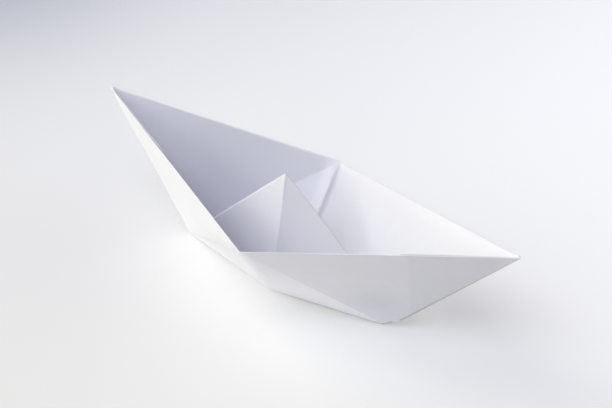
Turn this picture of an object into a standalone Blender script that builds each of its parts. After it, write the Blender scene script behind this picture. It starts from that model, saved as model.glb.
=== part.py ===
"""A paper boat folded from one A4 sheet, as one continuous solid of the paper's own thickness.

The sheet is described in the flat shape it has just before it is opened: a paper hat, made of two
right triangles lying back to back, the near side and the far side of the boat. A place on the hat is
(across, down): across from the centre crease, down from the apex. Each panel of the sheet covers all
or part of a hat triangle, at its own level in the stack of layers. Opening the hat folds every side
once more, into a sail, a bottom strip and a flap at each end. The function surface gives that shape.
"""
import math

import bmesh
import bpy
import numpy as np

# The sheet, in metres: A4 office paper.
SHEET_WIDTH = 0.210
BAND_DEPTH = 0.0435
PAPER_THICKNESS = 0.0001
LAYER_GAP = 0.00012

# Folds.
FOLD_FLAT = 0.0006
FOLD_BEND = 0.00015
INNER_FOLD_INSET = 0.00045
SLIT_INSET = 0.0003
SIDE_CLEARANCE = 0.00005
KEEL_RISE = 0.00054
FOOT_FOLD_RISE = 0.0002

# Marks that handling left on this boat: a pleat in the far side's middle, a bowed ridge and a blunt
# toe at the right end, pressed back along the ground and cut up the keel.
PLEAT_HEIGHT = 0.0011
PLEAT_DROP = 0.0011
PLEAT_DIP = 0.0002
PLEAT_REACH = 0.012
RIDGE_BOW = 0.0045
TOE_BACK = 0.0028
TOE_CUT = 0.006

FIRST_CELL = 0.004
CELL = 0.0095

HALF = SHEET_WIDTH / 2
LEVEL = PAPER_THICKNESS + LAYER_GAP
RAW_EDGE = HALF - BAND_DEPTH

# How far the keel's fold is pressed out to its line, and how far the foot's fold still follows the sail.
KEEL_PRESS_SHARE = 0.4
FOOT_TURN_SHARE = 0.25
# A normal this near to its neighbour's plane is left out of a corner's move.
FLAT_CORNER_SHARE = 0.15

# The sheet's middle, closed by a point over each end's folds: out, towards the far side and up, in
# levels of the stack, for the sheet's first and second face.
APEX_FIRST_SHARES = (0.15, 3.1, -0.6)
APEX_SECOND_SHARES = (0.85, 1.8, -1.15)

NEAR, FAR = "near", "far"
LEFT, RIGHT = "left", "right"
SIDE_SIGN = {NEAR: -1, FAR: 1}
END_SIGN = {LEFT: -1, RIGHT: 1}

# Corners of the opened boat, as shares of half the sheet's width: along, across and up.
CORNER_SHARES = {
    "apex": (-0.028, 0.050, 0.510),
    "tip_left": (-0.896, 0.064, 0.570),
    "tip_right": (0.931, 0.071, 0.547),
    "foot_left": (-0.488, 0.0, 0.0),
    "foot_right": (0.4925, 0.0, 0.0),
    "keel_near": (-0.009, -0.092, 0.0),
    "keel_far": (0.0, 0.067, 0.0),
    "gunwale_near": (0.018, -0.320, 0.417),
    "gunwale_far": (0.006, 0.404, 0.343),
}

# Where each corner lies on the hat, as shares of half the sheet's width: across and down.
HAT_SHARES = {"apex": (0, 0), "keel": (0, 0.5), "foot": (0.5, 0.5), "gunwale": (0, 1), "tip": (1, 1)}
FACETS = {
    "sail": ("apex", "keel", "foot"),
    "strip": ("gunwale", "foot", "keel"),
    "flap": ("gunwale", "tip", "foot"),
}

# A panel is (side it lies on, level in the stack, which part of the triangle it covers).
PANELS = {
    "near_main": (NEAR, 0, "whole"),
    "near_band": (NEAR, 1, "band"),
    "near_tuck": (NEAR, 2, "tuck"),
    "far_main": (FAR, 0, "whole"),
    "far_corner": (FAR, 1, "whole"),
    "near_corner": (FAR, 2, "whole"),
    "far_tuck": (FAR, 3, "tuck"),
    "far_band": (FAR, 4, "band"),
}
CORNER_PANELS = ("far_corner", "near_corner")
# Folds round the boat's ridge and keel join a panel of the near side to one of the far side.
CROSSING_FOLDS = (("near_main", "near_corner"), ("near_band", "far_tuck"), ("near_tuck", "far_band"))
GUNWALE_FOLDS = (("near_main", "near_band"), ("far_main", "far_band"))


def unit(vector):
    return vector / np.linalg.norm(vector)


def offset(normals, heights):
    """The shortest move that lifts a point by each height along its normal."""
    return np.linalg.lstsq(np.array(normals), np.array(heights), rcond=FLAT_CORNER_SHARE)[0]


def hat_knots():
    """Grid lines of the hat triangle, the same for both directions and mirrored about its middle."""
    middle = HALF / 2
    edge = min(BAND_DEPTH, RAW_EDGE)
    steps = max(1, round((edge - FIRST_CELL) / CELL))
    low = [0.0, *np.linspace(FIRST_CELL, edge, steps + 1), middle - FOLD_FLAT]
    return low + [HALF - s for s in reversed(low)]


KNOTS = hat_knots()
LAST = len(KNOTS) - 1
SAIL_FOOT = LAST // 2
HULL_FOOT = SAIL_FOOT + 1
RAW_ROW = int(np.argmin([abs(s - RAW_EDGE) for s in KNOTS]))
FIRST_ROW = {"whole": 0, "band": RAW_ROW, "tuck": RAW_ROW}


def corner(name, side, end):
    """A corner's place in the opened boat."""
    for full in (name, f"{name}_{side}", f"{name}_{end}"):
        if full in CORNER_SHARES:
            return np.array(CORNER_SHARES[full]) * HALF
    raise KeyError(name)


def surface(side, end, facet, across, down):
    """A point of the opened outer skin, its two slopes and its normal, which points into the hold."""
    names = FACETS[facet]
    corners = np.array([corner(name, side, end) for name in names])
    hat = np.array([HAT_SHARES[name] for name in names]) * HALF
    weights = np.linalg.inv(np.vstack([hat.T, np.ones(3)]))
    share = weights @ np.array([across, down, 1.0])
    point = share @ corners
    slope_across = weights[:, 0] @ corners
    slope_down = weights[:, 1] @ corners
    if facet == "sail" and end == RIGHT:
        bow = unit(np.array([1.0, 0.0, 1.0])) * RIDGE_BOW
        point = point + 4 * share[0] * share[2] * bow
        slope_across = slope_across + 4 * (weights[0, 0] * share[2] + share[0] * weights[2, 0]) * bow
        slope_down = slope_down + 4 * (weights[0, 1] * share[2] + share[0] * weights[2, 1]) * bow
    sign = SIDE_SIGN[side] * END_SIGN[end]
    return point, slope_across, slope_down, sign * unit(np.cross(slope_across, slope_down))


def on_keel(end, j):
    """Whether a grid line's point on the sheet's edge lies up the keel: the cut toe's lowest one does."""
    return j > HULL_FOOT or (j == HULL_FOOT and end == RIGHT)


def facets_at(end, i, j):
    """The facets that meet at a grid point."""
    if i == j and on_keel(end, j):
        return {"flap"}
    if i >= SAIL_FOOT and j <= HULL_FOOT:
        return {"sail", "strip", "flap"}
    found = set()
    if j <= HULL_FOOT:
        found.add("sail")
    if j >= SAIL_FOOT and i + j <= LAST:
        found.add("strip")
    if j >= SAIL_FOOT and i + j >= LAST:
        found.add("flap")
    return found


def own_facet(j, across, down):
    """The facet that a place on the hat belongs to, on a grid line."""
    if j <= SAIL_FOOT:
        return "sail"
    return "strip" if across + down <= HALF else "flap"


def lift(side, end, i, j):
    """The move that raises a grid point by one unit of height off every facet that meets there."""
    down = HALF / 2 if j in (SAIL_FOOT, HULL_FOOT) else KNOTS[j]
    ends = (LEFT, RIGHT) if i == 0 else (end,)
    normals = [surface(side, e, f, KNOTS[i], down)[3] for e in ends for f in sorted(facets_at(e, i, j))]
    return offset(normals, np.ones(len(normals)))


def keel_knot(end, j):
    """How far along the hat's edge a grid line's point lies: the cut toe's stands further up the keel."""
    return KNOTS[j] + (TOE_CUT / math.sqrt(2) if end == RIGHT and j == HULL_FOOT else 0.0)


def hat_place(panel, end, i, j):
    """Where a panel's grid point lies on the hat: inner folds and the slit stand back from the outer."""
    across, down = KNOTS[i], KNOTS[j]
    # The far hull's first grid line on the right runs along the foot of the pleat's drop, and its
    # point on the crease between strip and flap stays on that crease.
    if end == RIGHT and j >= SAIL_FOOT and i == 1 and PANELS[panel][0] == FAR:
        across = PLEAT_DROP
        if i + j == LAST:
            down = HALF - across
    if end == RIGHT and i == SAIL_FOOT and j <= HULL_FOOT:
        across -= TOE_BACK
    if i == j == HULL_FOOT:
        across = down = keel_knot(end, j)
    if PANELS[panel][0] == FAR and i == j:
        back = INNER_FOLD_INSET
        if j == 0:
            down += back * math.sqrt(2)
        elif j <= SAIL_FOOT or j == LAST:
            across -= back * math.sqrt(2)
        else:
            across -= back / math.sqrt(2)
            down += back / math.sqrt(2)
    if panel in CORNER_PANELS and i == 0:
        across += SLIT_INSET
        down += SLIT_INSET if j == 0 else 0.0
    return across, down


def pleat(end, across, down):
    """The pleat's move of the far side: a long rise from the left, then a steep drop to a slight dip."""
    way = unit(sum(surface(FAR, e, "strip", 0.0, HALF)[3] for e in (LEFT, RIGHT)))
    rest = max(0.0, 1 - across / PLEAT_REACH)
    steep = max(0.0, 1 - across / PLEAT_DROP)
    drop = PLEAT_HEIGHT * steep - PLEAT_DIP * (1 - steep) * rest
    rise = PLEAT_HEIGHT * rest**2 if end == LEFT else drop
    return way * rise * (2 * down / HALF - 1)


def skin(panel, end, i, j):
    """The opened outer skin below a panel's grid point, with this boat's own pleat and blunt toe."""
    across, down = hat_place(panel, end, i, j)
    point = surface(PANELS[panel][0], end, own_facet(j, across, down), across, down)[0]
    if j in (SAIL_FOOT, HULL_FOOT) and not (i == j and on_keel(end, j)):
        point[2] = KEEL_RISE
    if PANELS[panel][0] == FAR and j >= HULL_FOOT:
        point = point + pleat(end, across, down)
    return point


def height(panel):
    side, level, _ = PANELS[panel]
    return level * LEVEL + (SIDE_CLEARANCE if side == FAR else 0.0)


def keel_frame(end, j):
    """The keel's point at a grid line, both flaps' normals, and the ways up both flaps from the keel."""
    knot = keel_knot(end, j)
    near = surface(NEAR, end, "flap", knot, knot)
    far = surface(FAR, end, "flap", knot, knot)
    along = unit(near[1] + near[2])
    up = [unit(s[2] - along * (s[2] @ along)) for s in (near, far)]
    point = near[0].copy()
    if not on_keel(end, j):
        point[2] = KEEL_RISE
    return point, (near[3], far[3]), up


def crossing_partner(panel):
    """The (near, far) pair of panels that a panel's fold round the keel belongs to, if it has one."""
    for pair in CROSSING_FOLDS:
        if panel in pair:
            return pair
    return None


def panel_point(panel, end, i, j, face):
    """A panel's grid point on its upper (1) or lower (-1) face."""
    pair = crossing_partner(panel)
    rise = height(panel) + face * PAPER_THICKNESS / 2
    if i == 0 and panel not in CORNER_PANELS:
        base = (skin(panel, LEFT, i, j) + skin(panel, RIGHT, i, j)) / 2
    else:
        base = skin(panel, end, i, j)
    place = base + lift(PANELS[panel][0], end, i, j) * rise
    if i < j or j < HULL_FOOT or not pair:
        return place
    point, normals, up = keel_frame(end, j)
    rises = [height(name) + face * PAPER_THICKNESS / 2 for name in pair]
    seat = point + offset(normals, rises) + up[pair.index(panel)] * FOLD_BEND
    if j == HULL_FOOT and panel in CORNER_PANELS:
        seat += (place - seat) * FOOT_TURN_SHARE
    return seat


def outward(side, end, i, j, edge):
    """The way out of the panel across one of its edges, in its own plane."""
    if edge == "slit" and j > 0:
        return unit(skin("far_corner", end, 0, j) - skin("far_corner", end, 1, j))
    facet = own_facet(j, KNOTS[i], KNOTS[j])
    _, across, down, _ = surface(side, end, facet, KNOTS[i], KNOTS[j])
    if edge == "slit":
        return unit(-across)
    if edge == "gunwale" and i == 0:
        other = surface(side, LEFT if end == RIGHT else RIGHT, facet, KNOTS[i], KNOTS[j])[2]
        return unit(down + other)
    if edge == "gunwale":
        return unit(down - across * (down @ across) / (across @ across))
    along = unit(across + down)
    return unit(across - along * (across @ along))


class Sheet:
    """The sheet's two faces as they are built up: points in pairs, and triangles between them."""

    def __init__(self):
        self.index = {}
        self.upper = []
        self.lower = []
        self.triangles = []

    def pair(self, key, first, second):
        """Stores the points of the sheet's first and second face under a key, and returns the index."""
        if key not in self.index:
            self.index[key] = len(self.upper)
            self.upper.append(first)
            self.lower.append(second)
        return self.index[key]

    def panel_vertex(self, panel, end, i, j):
        shared = i == 0 and panel not in CORNER_PANELS
        key = (panel, "centre" if shared else end, i, j)
        if key in self.index:
            return self.index[key]
        top, bottom = (panel_point(panel, end, i, j, face) for face in (1, -1))
        return self.pair(key, *((top, bottom) if shows_first_face(panel) else (bottom, top)))

    def quad(self, a, b, c, d):
        self.triangles += [(a, b, c), (a, c, d)]


def shows_first_face(panel):
    """Whether a panel lies with the sheet's first face up: each fold turns it over."""
    return panel in ("near_main", "far_main", "near_corner")


def add_panel(sheet, panel, end):
    part = PANELS[panel][2]
    first = FIRST_ROW[part]
    for j in range(first, LAST):
        for i in range(first if part == "tuck" else 0, j + 1):
            corners = [(i, j), (i + 1, j), (i + 1, j + 1), (i, j + 1)]
            if i == j:
                a, c, d = (sheet.panel_vertex(panel, end, *corners[k]) for k in (0, 2, 3))
                sheet.triangles.append((a, c, d))
                continue
            ring = [sheet.panel_vertex(panel, end, *place) for place in corners]
            if i + j == LAST - 1:
                ring = ring[1:] + ring[:1]
            sheet.quad(*ring)


def bend(start, stop, out, radius, steps):
    """Points round a fold from one layer's edge to the next one's, bulging out by the radius."""
    middle, reach = (start + stop) / 2, (stop - start) / 2
    angles = [math.pi * k / (steps + 1) for k in range(1, steps + 1)]
    return [middle - reach * math.cos(a) + out * radius * math.sin(a) for a in angles]


def fold_column(sheet, name, lower, upper, end, i, j, out, steps):
    """The pairs of points across a fold at one grid point, from the lower panel to the upper one."""
    a = sheet.panel_vertex(lower, end, i, j)
    b = sheet.panel_vertex(upper, end, i, j)
    half = (height(upper) - height(lower)) / 2
    outer_is_first = not shows_first_face(lower)
    radii = [half + PAPER_THICKNESS / 2, half - PAPER_THICKNESS / 2]
    first_radius, second_radius = radii if outer_is_first else radii[::-1]
    first = bend(sheet.upper[a], sheet.upper[b], out, first_radius, steps)
    second = bend(sheet.lower[a], sheet.lower[b], out, second_radius, steps)
    middle = [
        sheet.pair((name, "centre" if i == 0 and name == "gunwale" else end, lower, i, j, k), p, q)
        for k, (p, q) in enumerate(zip(first, second))
    ]
    return [a, *middle, b]


def crossing_column(sheet, near, far, end, j):
    """The pairs of points across a fold that goes round the ridge or the keel at one grid line."""
    a = sheet.panel_vertex(near, end, j, j)
    b = sheet.panel_vertex(far, end, j, j)
    key = ("crossing", end, near, j)
    chords = [(sheet.upper[a] + sheet.upper[b]) / 2, (sheet.lower[a] + sheet.lower[b]) / 2]
    if on_keel(end, j):
        point, normals, _ = keel_frame(end, j)
        middle = []
        for face, chord in zip((1, -1) if shows_first_face(near) else (-1, 1), chords):
            rise = [height(name) + face * PAPER_THICKNESS / 2 for name in (near, far)]
            middle.append(chord + (point + offset(normals, rise) - chord) * KEEL_PRESS_SHARE)
        return [a, sheet.pair(key, *middle), b]
    if j == SAIL_FOOT:
        chords = [chord + np.array([0.0, 0.0, FOOT_FOLD_RISE]) for chord in chords]
    out = unit(outward(NEAR, end, j, j, "ridge") + outward(FAR, end, j, j, "ridge"))
    reach = (height(near) + height(far)) / 2
    half = PAPER_THICKNESS / 2
    pushes = (reach + half, reach - half) if shows_first_face(near) else (reach - half, reach + half)
    first, second = (chord + out * push for chord, push in zip(chords, pushes))
    return [a, sheet.pair(key, first, second), b]


def join_columns(sheet, columns):
    for left, right in zip(columns, columns[1:]):
        for k in range(len(left) - 1):
            sheet.quad(left[k], right[k], right[k + 1], left[k + 1])


def add_folds(sheet, end):
    """Joins one end's panels at their folds, and returns the points round the apex at that end."""
    diagonal = [
        fold_column(
            sheet, "corner", "far_main", "far_corner", end, j, j, outward(FAR, end, j, j, "ridge"), 1
        )
        for j in range(LAST + 1)
    ]
    slit = [
        fold_column(
            sheet, "slit", "far_corner", "near_corner", end, 0, j, outward(FAR, end, 0, j, "slit"), 1
        )
        for j in range(LAST + 1)
    ]
    join_columns(sheet, diagonal)
    join_columns(sheet, slit)
    for near, far in CROSSING_FOLDS:
        start = 0 if near == "near_main" else RAW_ROW
        join_columns(sheet, [crossing_column(sheet, near, far, end, j) for j in range(start, LAST + 1)])
    for lower, upper in GUNWALE_FOLDS:
        side = PANELS[lower][0]
        columns = [
            fold_column(
                sheet, "gunwale", lower, upper, end, i, LAST, outward(side, end, i, LAST, "gunwale"), 3
            )
            for i in range(LAST + 1)
        ]
        join_columns(sheet, columns)
    wrap = crossing_column(sheet, "near_main", "near_corner", end, 0)
    return [*diagonal[0], *slit[0][1:], *reversed(wrap[:-1])]


def close_apex(sheet, rings):
    """Closes the sheet over its own middle, where six folds meet at the sail's apex."""
    apex = corner("apex", NEAR, LEFT)
    caps = {}
    for end, ring in rings.items():
        way = np.array([END_SIGN[end], 1, 1]) * LEVEL
        caps[end] = sheet.pair(("apex", end), apex + way * APEX_FIRST_SHARES, apex + way * APEX_SECOND_SHARES)
        sheet.triangles += [(caps[end], *step) for step in zip(ring, ring[1:])]
    far, near = rings[RIGHT][0], rings[RIGHT][-1]
    sheet.triangles += [(caps[RIGHT], near, caps[LEFT]), (caps[LEFT], far, caps[RIGHT])]


def fold_sheet():
    sheet = Sheet()
    rings = {}
    for end in (LEFT, RIGHT):
        for panel in PANELS:
            add_panel(sheet, panel, end)
        rings[end] = add_folds(sheet, end)
    close_apex(sheet, rings)
    return sheet


def sheet_mesh(sheet):
    """Both faces of the sheet and the cut edges between them, standing on the ground about the origin."""
    points = np.array(sheet.upper + sheet.lower)
    low, high = points.min(axis=0), points.max(axis=0)
    points -= [(low[0] + high[0]) / 2, (low[1] + high[1]) / 2, low[2]]
    mesh = bmesh.new()
    vertices = [mesh.verts.new(point) for point in points]
    count = len(sheet.upper)
    uses = {}
    for triangle in sheet.triangles:
        mesh.faces.new([vertices[k] for k in triangle])
        mesh.faces.new([vertices[k + count] for k in reversed(triangle)])
        for a, b in zip(triangle, triangle[1:] + triangle[:1]):
            uses.setdefault(frozenset((a, b)), []).append((a, b))
    for found in uses.values():
        if len(found) == 1:
            a, b = found[0]
            mesh.faces.new([vertices[k] for k in (b, a, a + count, b + count)])
    bmesh.ops.recalc_face_normals(mesh, faces=mesh.faces)
    return mesh


def paper_material():
    material = bpy.data.materials.new("white_paper")
    material.use_nodes = True
    shader = material.node_tree.nodes["Principled BSDF"]
    shader.inputs["Base Color"].default_value = (0.88, 0.88, 0.90, 1.0)
    shader.inputs["Roughness"].default_value = 0.85
    shader.inputs["Metallic"].default_value = 0.0
    return material


def clear_scene():
    for item in list(bpy.data.objects):
        bpy.data.objects.remove(item, do_unlink=True)


def main():
    clear_scene()
    built = sheet_mesh(fold_sheet())
    data = bpy.data.meshes.new("folded_sheet")
    built.to_mesh(data)
    built.free()
    data.materials.append(paper_material())
    boat = bpy.data.objects.new("folded_sheet", data)
    bpy.context.scene.collection.objects.link(boat)


main()
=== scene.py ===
"""The folded paper boat on a pale table, seen as in the photograph. Metres throughout."""
import math

import bmesh
import bpy
from mathutils import Matrix, Vector


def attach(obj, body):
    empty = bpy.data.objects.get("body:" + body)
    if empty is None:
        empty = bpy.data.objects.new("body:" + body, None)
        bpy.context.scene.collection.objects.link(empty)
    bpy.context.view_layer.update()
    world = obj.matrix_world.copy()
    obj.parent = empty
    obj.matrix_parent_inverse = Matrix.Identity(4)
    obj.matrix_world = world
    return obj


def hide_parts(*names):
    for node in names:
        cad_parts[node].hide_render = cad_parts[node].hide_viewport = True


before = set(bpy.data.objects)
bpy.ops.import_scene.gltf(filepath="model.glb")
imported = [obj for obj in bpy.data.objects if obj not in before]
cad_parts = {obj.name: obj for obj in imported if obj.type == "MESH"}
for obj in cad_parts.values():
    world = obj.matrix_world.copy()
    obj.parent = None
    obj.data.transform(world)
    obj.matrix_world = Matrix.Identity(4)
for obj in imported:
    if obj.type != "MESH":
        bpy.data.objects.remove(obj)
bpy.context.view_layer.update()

SCENE = bpy.context.scene
SCENE.view_settings.view_transform = "Standard"

# The camera, worked out from the corners of the boat in the photograph.
CAMERA_PLACE = Vector((0.16883, -0.25877, 0.31442))
CAMERA_AZIMUTH = math.radians(32.191)
CAMERA_ELEVATION = math.radians(41.629)
CAMERA_ROLL = math.radians(0.412)
CAMERA_LENS_MM = 59.57
CAMERA_SENSOR_MM = 36.0
CAMERA_CLIP_START = 0.01
CAMERA_CLIP_END = 20.0

# The ways on the table that run across the picture and away from its viewer.
ORIGIN = Vector((0.0, 0.0, 0.0))
PICTURE_RIGHT = Vector((math.cos(CAMERA_AZIMUTH), math.sin(CAMERA_AZIMUTH), 0.0))
PICTURE_AWAY = Vector((-math.sin(CAMERA_AZIMUTH), math.cos(CAMERA_AZIMUTH), 0.0))

# The table's side, and how far its top lies below the boat's lowest point.
FLOOR_SIZE = 6.0
FLOOR_DROP = 0.00005

# The table's own colour, the share of its lit tone that the picture keeps, and the light that it adds to what
# it throws back on the boat. Colours are red, green and blue.
TABLE_COLOUR = (0.90, 0.90, 0.908)
TABLE_LIT_SHARE = (0.633, 0.64, 0.568)
TABLE_BOUNCE = (0.123, 0.122, 0.106)

# A glow makes up the rest of the table's tone. It is fitted to the photograph: its level at the origin, and
# its slopes and bends for each tone unit across the picture and away. They go on as far as the tone's reach.
TONE_LEVEL = (0.452, 0.449, 0.491)
TONE_ACROSS = (0.121, 0.127, 0.132)
TONE_AWAY = (0.052, 0.060, 0.105)
TONE_TWIST = (0.066, 0.058, 0.046)
TONE_AWAY_BEND = (-0.102, -0.103, -0.111)
TONE_UNIT = 0.2
TONE_REACH = 0.24

# Soft round patches of painted shade (the first three) and painted light (the last) in that glow, also
# fitted: place across the picture and away, reach, and strength.
SHADE_AND_LIGHT_PATCHES = (
    (-0.19, 0.25, 0.15, (-0.146, -0.139, -0.113)),
    (0.079, -0.030, 0.048, (-0.055, -0.055, -0.055)),
    (-0.064, 0.012, 0.100, (-0.072, -0.072, -0.064)),
    (0.054, -0.021, 0.016, (0.060, 0.060, 0.060)),
)

# Painted light on the table along the near side's left-hand foot: strength, reach to either side of the
# foot's line, and the shares of that line's length over which it grows at its start and fades beyond its end.
FOOT_GLOW = (0.055, 0.052, 0.060)
FOOT_REACH = 0.013
FOOT_BEGIN_SHARE = 0.7
FOOT_STOP_SHARE = 0.3

# The painted shade where the boat is close to the table: how far it looks, its power at the origin, how much
# that grows for each tone unit across the picture, and the least that it is.
OPEN_REACH = 0.025
OPEN_SAMPLES = 6
OPEN_POWER = 0.33
OPEN_POWER_ACROSS = 0.8
OPEN_POWER_LEAST = 0.05

# Corners of the boat, and places on its folds.
NEAR_RIM = Vector((0.0, -0.0378, 0.0434))
FAR_RIM = Vector((-0.0012, 0.0373, 0.0364))
LEFT_TIP = Vector((-0.0959, 0.0024, 0.0595))
RIGHT_TIP = Vector((0.0959, 0.0032, 0.0571))
SAIL_TIP = Vector((-0.0048, 0.0010, 0.0532))
NEAR_LEFT_FOOT = Vector((-0.0530, -0.0045, 0.0006))
NEAR_FOOT = Vector((-0.0028, -0.0142, 0.0003))
FAR_FOOT = Vector((-0.0018, 0.0032, 0.0004))
RIGHT_FOOT = Vector((0.0536, -0.0039, 0.0054))
RIGHT_FOLD_FOOT = Vector((0.0497, -0.0050, 0.0004))
STRIP_START = Vector((-0.0003, -0.0144, 0.0004))
TOE_LEFT = Vector((0.0436, -0.0057, 0.0004))
TOE_MIDDLE = Vector((0.0475, -0.0050, 0.0004))
TOE_END_SHARE = 0.55
TOE_END = TOE_MIDDLE.lerp(RIGHT_FOOT, TOE_END_SHARE)

# How far some lines lie beside the straight way between two of those places.
PLEAT_DROP = Vector((0.0011, 0.0, 0.0))
PLEAT_PLACE = Vector((0.0020, 0.0, 0.0))
PLEAT_RISE = Vector((-0.0008, 0.0, 0.0))
CREASE_PLACE = Vector((0.0010, 0.0, 0.0))
RIM_RISE = Vector((0.0, 0.0, 0.0006))
KEEL_OUT = Vector((0.0004, 0.0, -0.0003))

# Points closer together than this are one.
SAME_POINT = 1e-7

# The angle from which a fold looks sharp. Along the soft folds the paper bends in a curve instead: each runs
# from one place to another, and takes in the edges that lie within its reach and bend by less than its limit.
SHARP_ANGLE = math.radians(6.0)
SOFT_FOLDS = (
    (NEAR_RIM, NEAR_LEFT_FOOT, 0.0025, math.radians(60.0)),
    (NEAR_RIM, NEAR_FOOT, 0.0040, math.radians(40.0)),
    (FAR_RIM, FAR_FOOT, 0.0160, math.radians(22.0)),
    (FAR_RIM + PLEAT_DROP, FAR_FOOT + PLEAT_DROP, 0.0005, math.radians(80.0)),
    (FAR_RIM, RIGHT_FOLD_FOOT, 0.0025, math.radians(60.0)),
)

# How the real sheet bends a little along its edges. Each bow lies between two shares of the way from one
# place to another. It pushes the paper by so much at its middle, and fades to nothing at its ends and at its
# reach to either side. Layers close to each other don't follow it quite alike, so that some triangles cross.
BOWS = {
    "left keel": (NEAR_LEFT_FOOT, LEFT_TIP, 0.30, 1.05, Vector((-0.00106, 0.0, -0.00075)), 0.006),
    "near left rim, high": (NEAR_RIM, LEFT_TIP, 0.42, 1.03, Vector((0.0004, 0.0, 0.0005)), 0.010),
    "near left rim, low": (NEAR_RIM, LEFT_TIP, -0.02, 0.42, Vector((-0.00007, 0.0, -0.0001)), 0.010),
    "left tip": (NEAR_LEFT_FOOT, LEFT_TIP, 0.74, 1.00, Vector((-0.0014, -0.0009, 0.0)), 0.004),
    "right tip": (RIGHT_FOOT, RIGHT_TIP, 0.82, 1.18, Vector((0.0, 0.0, -0.0004)), 0.006),
    "sail's tip": (SAIL_TIP, NEAR_FOOT, -0.9, 0.9, Vector((0.0004, 0.00026, 0.0)), 0.016),
    "far right rim": (FAR_RIM, RIGHT_TIP, 0.30, 1.15, Vector((0.0, 0.0, 0.00055)), 0.016),
    "near right rim": (NEAR_RIM, RIGHT_TIP, 0.10, 1.10, Vector((0.0, 0.0, 0.00065)), 0.016),
    "sail's left ridge": (SAIL_TIP, NEAR_LEFT_FOOT, 0.05, 1.15, Vector((-0.00039, 0.0, 0.00039)), 0.016),
    "sail's right ridge": (SAIL_TIP, RIGHT_FOOT, -0.10, 0.95, Vector((-0.00078, 0.0, -0.00078)), 0.016),
    "pleat": (FAR_RIM, FAR_FOOT, -0.20, 1.0, Vector((0.0013, 0.0, 0.0)), 0.012),
    "right keel": (RIGHT_FOOT, RIGHT_TIP, -0.60, 1.25, KEEL_OUT * 1.2, 0.0035),
    "far right fold": (FAR_RIM, RIGHT_FOLD_FOOT, -0.05, 1.05, Vector((0.0, -0.0014, 0.0007)), 0.020),
}

# A fold that is sharper than the solid's. The tent runs as a bow does, is highest half way along its share of
# the line, and slopes down in straight flanks to its reach, which is given for both ends of the line.
TENTS = {
    "sail's middle": (SAIL_TIP, NEAR_FOOT, 0.0, 0.9, Vector((0.00113, -0.00180, 0.0)), 0.0001, 0.048),
}

# Lines of painted shade where layers meet at the keel, the folds and the crease, and where the paper stands
# on the table.
# Each runs from one place to another, is dark up to the first distance from that line and clear from the
# second one on, and takes away a share of the colour. It grows to that over the last number, a share of the
# line, and fades beyond its end. The strengths are fitted to the photograph.
SHADE_LINES = {
    "right keel": (RIGHT_FOOT + KEEL_OUT, RIGHT_TIP + KEEL_OUT, 0.0006, 0.0013, 0.28, 0.02),
    "toe": (TOE_LEFT, TOE_MIDDLE, 0.0004, 0.0012, 0.35, 0.02),
    "toe's rise": (TOE_MIDDLE, TOE_END, 0.0004, 0.0012, 0.30, 0.02),
    "strip's foot": (STRIP_START, TOE_LEFT, 0.0003, 0.0010, 0.25, 0.3),
    "sail's crease": (NEAR_FOOT + CREASE_PLACE, SAIL_TIP + CREASE_PLACE, 0.0002, 0.0011, 0.07, 0.9),
    "near left fold": (NEAR_RIM, NEAR_LEFT_FOOT, 0.0002, 0.0012, 0.05, 0.6),
}
SHADE_LINE_STOP = 0.0010

# Painted highlights on thin rims, and on two wider bands, where the paper glows lighter than the lamps make
# it: start, end, full to the first distance, gone at the second, and the strength of the painted light,
# fitted to the photograph.
RIM_HIGHLIGHTS = {
    "sail's left ridge": (SAIL_TIP, NEAR_LEFT_FOOT, 0.0003, 0.0008, 0.12),
    "far left rim": (FAR_RIM, LEFT_TIP, 0.0003, 0.0008, 0.07),
    "far right rim": (FAR_RIM, RIGHT_TIP, 0.0, 0.0080, 0.045),
    "near right rim": (NEAR_RIM + RIM_RISE, RIGHT_TIP + RIM_RISE, 0.0003, 0.0006, 0.16),
    "pleat's crest": (FAR_RIM + PLEAT_RISE, FAR_FOOT + PLEAT_RISE, 0.0, 0.0060, 0.09),
}
RIM_HIGHLIGHT_COLOUR = (1.0, 1.0, 1.0)

# Shares of the paper's colour that wider painted shades take away, also fitted. The near side's right-hand
# panel is painted darker than the rest, and darker again beyond the tucked corner's edge, which lies at one
# x. The panel's shade is clear and full at two distances from the keel.
PANEL_SHADE = 0.042
PANEL_FACING = Vector((0.0, -1.0, 0.6))
PANEL_FOLD_BLUR = 0.0006
PANEL_KEEL_CLEAR = 0.0002
PANEL_KEEL_FULL = 0.0006
LAYER_SHADE = 0.030
LAYER_EDGE = Vector((0.0583, 0.0, 0.0))
LAYER_WAY = Vector((1.0, 0.0, 0.0))
LAYER_BLUR = 0.0005

# Painted shade where the real sheet has a dent above the blunt toe, and the line of painted shade behind the
# pleat's crest, full from some way down.
DENT_SHADE = 0.06
DENT_PLACE = Vector((0.0450, -0.0112, 0.0180))
DENT_REACH = 0.0150
PLEAT_SHADE = 0.24
PLEAT_REACH = 0.0026
PLEAT_FULL = 0.014

# White office paper: the two ends of its uneven tone, each with its place on the noise, and its fibres.
PAPER_TONES = ((0.3, (0.932, 0.936, 0.948)), (0.7, (0.948, 0.950, 0.958)))
PAPER_TONE_SCALE = 260.0
PAPER_TONE_DETAIL = 4.0
PAPER_ROUGHNESS = 0.72
PAPER_SPECULAR = 0.25
FIBRE_SCALE = 2600.0
FIBRE_DETAIL = 3.0
FIBRE_ROUGHNESS = 0.6
FIBRE_STRENGTH = 0.12
FIBRE_HEIGHT = 0.00005

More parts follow.
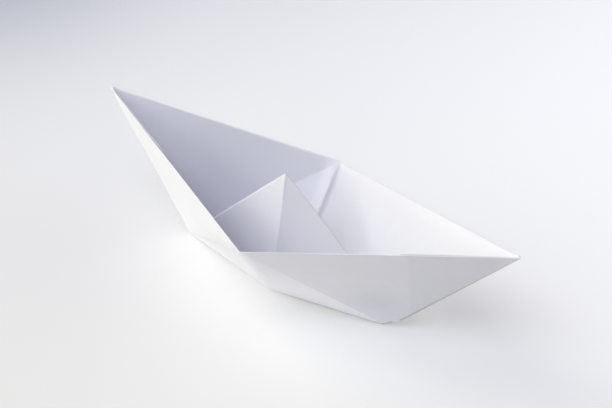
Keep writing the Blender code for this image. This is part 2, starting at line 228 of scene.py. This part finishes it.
# Soft round lamps, worked out from the photograph's light. All have one size and one distance from the
# origin. Each has its name, its azimuth and elevation in degrees, its power in watts and its colour.
LAMP_DISTANCE = 1.6
LAMP_SIZE = 0.9
LAMPS = (
    ("window", 270.0, 35.0, 10.43, (1.0, 0.958, 0.721)),
    ("low_left", 300.0, 10.0, 4.16, (1.0, 0.981, 0.704)),
    ("mid_front", 345.0, 24.0, 4.24, (1.0, 0.943, 0.894)),
    ("front", 320.0, 45.0, 5.80, (0.81, 0.881, 1.0)),
    ("overhead", 0.0, 68.0, 9.47, (0.723, 0.725, 1.0)),
    ("low_right", 120.0, 10.0, 7.89, (0.982, 1.0, 0.966)),
)


def direction(azimuth, elevation):
    """The way from the origin to something that stands at this azimuth and elevation, in radians."""
    level = math.cos(elevation)
    return Vector((math.sin(azimuth) * level, -math.cos(azimuth) * level, math.sin(elevation)))


def add_camera():
    back = direction(CAMERA_AZIMUTH, CAMERA_ELEVATION)
    up = back.cross(PICTURE_RIGHT)
    c, s = math.cos(CAMERA_ROLL), math.sin(CAMERA_ROLL)
    axes = (PICTURE_RIGHT * c + up * s, up * c - PICTURE_RIGHT * s, back)
    data = bpy.data.cameras.new("camera")
    data.sensor_width = CAMERA_SENSOR_MM
    data.lens = CAMERA_LENS_MM
    data.clip_start = CAMERA_CLIP_START
    data.clip_end = CAMERA_CLIP_END
    camera = bpy.data.objects.new("camera", data)
    camera.matrix_world = Matrix.Translation(CAMERA_PLACE) @ Matrix(axes).transposed().to_4x4()
    SCENE.collection.objects.link(camera)
    SCENE.camera = camera


# Material nodes. An item for an input is another node's output, or a plain value.

def node_tree(material):
    material.use_nodes = True
    tree = material.node_tree
    tree.nodes.clear()
    return tree


def add_node(tree, kind, inputs=None, **settings):
    node = tree.nodes.new(kind)
    for name, value in settings.items():
        setattr(node, name, value)
    for name, item in (inputs or {}).items():
        if isinstance(item, bpy.types.NodeSocket):
            tree.links.new(item, node.inputs[name])
        else:
            node.inputs[name].default_value = item
    return node


def calculate(tree, operation, *items):
    """The result of a sum on plain numbers."""
    node = add_node(tree, "ShaderNodeMath", dict(enumerate(items)), operation=operation)
    return node.outputs["Value"]


def calculate_vector(tree, operation, *items):
    """The result of a sum on vectors or colours, which is one too."""
    node = add_node(tree, "ShaderNodeVectorMath", dict(enumerate(items)), operation=operation)
    return node.outputs["Vector"]


def measure(tree, operation, *items):
    """The number that a sum on vectors gives, such as a length."""
    node = add_node(tree, "ShaderNodeVectorMath", dict(enumerate(items)), operation=operation)
    return node.outputs["Value"]


def add_light(tree, first, second):
    """Two shaders added up."""
    return add_node(tree, "ShaderNodeAddShader", {0: first, 1: second}).outputs["Shader"]


def noise(tree, scale, detail, roughness=0.5):
    """Noise in object space, as a value between 0 and 1."""
    here = add_node(tree, "ShaderNodeTexCoord").outputs["Object"]
    values = {"Vector": here, "Scale": scale, "Detail": detail, "Roughness": roughness}
    return add_node(tree, "ShaderNodeTexNoise", values).outputs["Fac"]


def colour_ramp(tree, value, stops):
    ramp = add_node(tree, "ShaderNodeValToRGB", {"Fac": value})
    for element, (place, colour) in zip(ramp.color_ramp.elements, stops):
        element.position = place
        element.color = (*colour, 1.0)
    return ramp.outputs["Color"]


def fade(tree, value, near, far):
    """1 up to the near value and 0 from the far one on, with a smooth step between them."""
    values = {"Value": value, "From Min": near, "From Max": far, "To Min": 1.0, "To Max": 0.0}
    return add_node(tree, "ShaderNodeMapRange", values, interpolation_type="SMOOTHSTEP").outputs["Result"]


def from_place(tree, place):
    """The arrow from a fixed place to the shaded point."""
    here = add_node(tree, "ShaderNodeTexCoord").outputs["Object"]
    return calculate_vector(tree, "SUBTRACT", here, place)


def distance_to(tree, place):
    return measure(tree, "LENGTH", from_place(tree, place))


def along_way(tree, place, way):
    """How far the shaded point lies from a place, along one way."""
    return measure(tree, "DOT_PRODUCT", from_place(tree, place), way)


def off_line(tree, start, end):
    """How far the shaded point lies from the endless line through two places."""
    way = (end - start).normalized()
    return measure(tree, "LENGTH", calculate_vector(tree, "CROSS_PRODUCT", from_place(tree, start), way))


def product(tree, first, *others):
    for other in others:
        first = calculate(tree, "MULTIPLY", first, other)
    return first


def darker(tree, colour, share, mask):
    """The colour, with so large a share of it taken away where the mask is 1."""
    kept = calculate(tree, "MULTIPLY_ADD", mask, -share, 1.0)
    node = add_node(tree, "ShaderNodeVectorMath", {0: colour, "Scale": kept}, operation="SCALE")
    return node.outputs["Vector"]


# Masks: 1 where something lies on the paper or the table, and 0 elsewhere.

def shade_line_mask(tree, start, end, near, far, full):
    run = end - start
    way = run.normalized()
    line = fade(tree, off_line(tree, start, end), near, far)
    begin = fade(tree, along_way(tree, start, -way), -full * run.length, 0.0)
    stop = fade(tree, along_way(tree, end, way), 0.0, SHADE_LINE_STOP)
    return product(tree, line, begin, stop)


def panel_mask(tree):
    """The near side's right-hand panel, from its fold to the keel."""
    along = RIGHT_TIP - RIGHT_FOOT
    keel_way = Vector((-along.y, along.x, 0.0)).normalized()
    near_side = fade(tree, along_way(tree, RIGHT_FOOT, keel_way), -PANEL_KEEL_FULL, -PANEL_KEEL_CLEAR)
    fold_way = (RIGHT_FOLD_FOOT - NEAR_RIM).cross(PANEL_FACING).normalized()
    beyond = fade(tree, along_way(tree, NEAR_RIM, fold_way), -PANEL_FOLD_BLUR, PANEL_FOLD_BLUR)
    return product(tree, near_side, beyond)


def layer_shade_mask(tree):
    """The same panel beyond the tucked corner's edge, where more layers lie under the surface, for its
    painted shade.
    """
    beyond = fade(tree, along_way(tree, LAYER_EDGE, -LAYER_WAY), -LAYER_BLUR, LAYER_BLUR)
    return product(tree, panel_mask(tree), beyond)


def dent_shade_mask(tree):
    """The painted shade of the soft dent above the blunt toe."""
    return fade(tree, distance_to(tree, DENT_PLACE), 0.0, DENT_REACH)


def pleat_mask(tree):
    """The line of painted shade behind the pleat's crest, which grows from the rim down."""
    start, end = FAR_RIM + PLEAT_PLACE, FAR_FOOT + PLEAT_PLACE
    lower = fade(tree, along_way(tree, start, -(end - start).normalized()), -PLEAT_FULL, 0.0)
    return product(tree, fade(tree, off_line(tree, start, end), 0.0, PLEAT_REACH), lower)


def foot_light_mask(tree):
    """The table beside the near side's left-hand foot, where light is painted."""
    run = STRIP_START - NEAR_LEFT_FOOT
    way = run.normalized()
    line = fade(tree, off_line(tree, NEAR_LEFT_FOOT, STRIP_START), 0.0, FOOT_REACH)
    begin = fade(tree, along_way(tree, NEAR_LEFT_FOOT, -way), -FOOT_BEGIN_SHARE * run.length, 0.0)
    stop = fade(tree, along_way(tree, STRIP_START, way), 0.0, FOOT_STOP_SHARE * run.length)
    return product(tree, line, begin, stop)


def rim_light(tree):
    """The strength of the painted light that makes the paper's rims bright."""
    light = 0.0
    for start, end, near, far, strength in RIM_HIGHLIGHTS.values():
        line = fade(tree, off_line(tree, start, end), near, far)
        light = calculate(tree, "MULTIPLY_ADD", line, strength, light)
    return light


def paper_tone(tree):
    """The paper's uneven white, with painted shade along the shade lines and in the wider shades."""
    tone = colour_ramp(tree, noise(tree, PAPER_TONE_SCALE, PAPER_TONE_DETAIL), PAPER_TONES)
    for start, end, near, far, share, full in SHADE_LINES.values():
        tone = darker(tree, tone, share, shade_line_mask(tree, start, end, near, far, full))
    tone = darker(tree, tone, PANEL_SHADE, panel_mask(tree))
    tone = darker(tree, tone, LAYER_SHADE, layer_shade_mask(tree))
    tone = darker(tree, tone, DENT_SHADE, dent_shade_mask(tree))
    return darker(tree, tone, PLEAT_SHADE, pleat_mask(tree))


def paper_material():
    material = bpy.data.materials.new("white_paper")
    tree = node_tree(material)
    fibres = add_node(tree, "ShaderNodeBump", {
        "Strength": FIBRE_STRENGTH,
        "Distance": FIBRE_HEIGHT,
        "Height": noise(tree, FIBRE_SCALE, FIBRE_DETAIL, FIBRE_ROUGHNESS),
    })
    paper = add_node(tree, "ShaderNodeBsdfPrincipled", {
        "Base Color": paper_tone(tree),
        "Roughness": PAPER_ROUGHNESS,
        "Specular IOR Level": PAPER_SPECULAR,
        "Emission Color": (*RIM_HIGHLIGHT_COLOUR, 1.0),
        "Emission Strength": rim_light(tree),
        "Normal": fibres.outputs["Normal"],
    })
    add_node(tree, "ShaderNodeOutputMaterial", {"Surface": paper.outputs["BSDF"]})
    return material


def place_on(point, start, end):
    """The share of the line between two places that a point lies at, and how far off that line it is."""
    run = end - start
    share = (point - start).dot(run) / run.length_squared
    return share, (point - start - run * share).length


def reach_of(point, start, end):
    """How far a point lies from the straight line between two others, which stops at both of them."""
    run = end - start
    share = max(0.0, min(1.0, (point - start).dot(run) / run.length_squared))
    return (point - start - run * share).length


def swell(share, first, last):
    """1 half way between two shares, and 0 at both."""
    along = (share - first) / (last - first)
    return 4 * along * (1 - along)


def bend(point):
    """Where a point of the flat-panelled boat lies once the bows and tents have pushed it."""
    moved = point.copy()
    for start, end, first, last, push, reach in BOWS.values():
        share, off = place_on(point, start, end)
        if first < share < last and off < reach:
            moved += push * (swell(share, first, last) * (1 - (off / reach) ** 2) ** 2)
    for start, end, first, last, push, reach, end_reach in TENTS.values():
        share, off = place_on(point, start, end)
        width = reach + (end_reach - reach) * share
        if first < share < last and off < width:
            moved += push * (swell(share, first, last) * (1 - off / width))
    return moved


def mark_folds(built):
    """Marks the folds that look sharp, and leaves the curved ones to smooth shading."""
    for face in built.faces:
        face.smooth = True
    for edge in built.edges:
        angle = edge.calc_face_angle(math.pi)
        middle = (edge.verts[0].co + edge.verts[1].co) / 2
        soft = any(angle < limit and reach_of(middle, a, b) < reach for a, b, reach, limit in SOFT_FOLDS)
        edge.smooth = angle < SHARP_ANGLE or soft


def add_paper():
    """The visible sheet: the solid's own mesh, bent a little, with its material."""
    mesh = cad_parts["folded_sheet"].data.copy()
    mesh.name = "paper"
    built = bmesh.new()
    built.from_mesh(mesh)
    bmesh.ops.remove_doubles(built, verts=built.verts, dist=SAME_POINT)
    mark_folds(built)
    for vertex in built.verts:
        vertex.co = bend(vertex.co)
    built.to_mesh(mesh)
    built.free()
    mesh.materials.clear()
    mesh.materials.append(paper_material())
    paper = bpy.data.objects.new("paper", mesh)
    SCENE.collection.objects.link(paper)
    weighted = paper.modifiers.new("even_faces", "WEIGHTED_NORMAL")
    weighted.keep_sharp = True
    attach(paper, "root")
    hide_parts("folded_sheet")


def table_place(tree, way):
    """How many tone units the shaded point lies along one way, within the tone's reach."""
    node = add_node(tree, "ShaderNodeMapRange", {
        "Value": along_way(tree, ORIGIN, way),
        "From Min": -TONE_REACH,
        "From Max": TONE_REACH,
        "To Min": -TONE_REACH / TONE_UNIT,
        "To Max": TONE_REACH / TONE_UNIT,
    })
    return node.outputs["Result"]


def table_glow(tree):
    """The colour of the table's glow, as it falls off across the picture and away from the viewer."""
    across, away = table_place(tree, PICTURE_RIGHT), table_place(tree, PICTURE_AWAY)
    slope = calculate_vector(tree, "MULTIPLY_ADD", away, TONE_AWAY_BEND, TONE_AWAY)
    slope = calculate_vector(tree, "MULTIPLY_ADD", across, TONE_TWIST, slope)
    level = calculate_vector(tree, "MULTIPLY_ADD", across, TONE_ACROSS, TONE_LEVEL)
    for right, back, reach, strength in SHADE_AND_LIGHT_PATCHES:
        centre = PICTURE_RIGHT * right + PICTURE_AWAY * back
        patch = fade(tree, distance_to(tree, centre), 0.0, reach)
        level = calculate_vector(tree, "MULTIPLY_ADD", patch, strength, level)
    level = calculate_vector(tree, "MULTIPLY_ADD", foot_light_mask(tree), FOOT_GLOW, level)
    return calculate_vector(tree, "MULTIPLY_ADD", away, slope, level)


def open_shade(tree):
    """How much of the glow is left where the boat is close, darker to the right of the picture."""
    across = along_way(tree, ORIGIN, PICTURE_RIGHT)
    power = calculate(tree, "MULTIPLY_ADD", across, OPEN_POWER_ACROSS / TONE_UNIT, OPEN_POWER)
    power = calculate(tree, "MAXIMUM", power, OPEN_POWER_LEAST)
    near = add_node(tree, "ShaderNodeAmbientOcclusion", {"Distance": OPEN_REACH}, samples=OPEN_SAMPLES)
    return calculate(tree, "POWER", near.outputs["AO"], power)


def seen_ray(tree):
    """1 for rays by which the table is seen, straight, in gloss or through glass, and 0 for its bounce."""
    rays = add_node(tree, "ShaderNodeLightPath").outputs
    straight_or_gloss = calculate(tree, "MAXIMUM", rays["Is Camera Ray"], rays["Is Glossy Ray"])
    return calculate(tree, "MAXIMUM", straight_or_gloss, rays["Is Transmission Ray"])


def matt(tree, colour):
    return add_node(tree, "ShaderNodeBsdfDiffuse", {"Color": (*colour, 1.0)}).outputs["BSDF"]


def floor_material():
    """A pale matt table. Where it is seen, part of its tone is a glow, so that shadows on it stay faint."""
    material = bpy.data.materials.new("table_top")
    tree = node_tree(material)
    bounce = add_node(tree, "ShaderNodeEmission", {"Color": (*TABLE_BOUNCE, 1.0)}).outputs["Emission"]
    glow = add_node(tree, "ShaderNodeEmission", {"Color": table_glow(tree), "Strength": open_shade(tree)})
    lit_colour = [colour * share for colour, share in zip(TABLE_COLOUR, TABLE_LIT_SHARE)]
    mix = add_node(tree, "ShaderNodeMixShader", {
        0: seen_ray(tree),
        1: add_light(tree, matt(tree, TABLE_COLOUR), bounce),
        2: add_light(tree, matt(tree, lit_colour), glow.outputs["Emission"]),
    })
    add_node(tree, "ShaderNodeOutputMaterial", {"Surface": mix.outputs["Shader"]})
    return material


def add_floor():
    mesh = bpy.data.meshes.new("table_top")
    half = FLOOR_SIZE / 2
    corners = [(x, y, -FLOOR_DROP) for x, y in ((-half, -half), (half, -half), (half, half), (-half, half))]
    mesh.from_pydata(corners, [], [(0, 1, 2, 3)])
    mesh.materials.append(floor_material())
    floor = bpy.data.objects.new("table_top", mesh)
    SCENE.collection.objects.link(floor)


def add_lamp(name, azimuth, elevation, power, colour):
    data = bpy.data.lights.new(name, "AREA")
    data.shape = "DISK"
    data.size = LAMP_SIZE
    data.energy = power
    data.color = colour
    lamp = bpy.data.objects.new(name, data)
    way = direction(math.radians(azimuth), math.radians(elevation))
    lamp.location = way * LAMP_DISTANCE
    lamp.rotation_euler = way.to_track_quat("Z", "Y").to_euler()
    SCENE.collection.objects.link(lamp)


def add_world():
    """A dark room, so that all the light comes from the lamps, the table and the paper's rims."""
    world = bpy.data.worlds.new("room")
    world.use_nodes = True
    world.node_tree.nodes["Background"].inputs["Strength"].default_value = 0.0
    SCENE.world = world


add_camera()
add_paper()
add_floor()
for lamp in LAMPS:
    add_lamp(*lamp)
add_world()
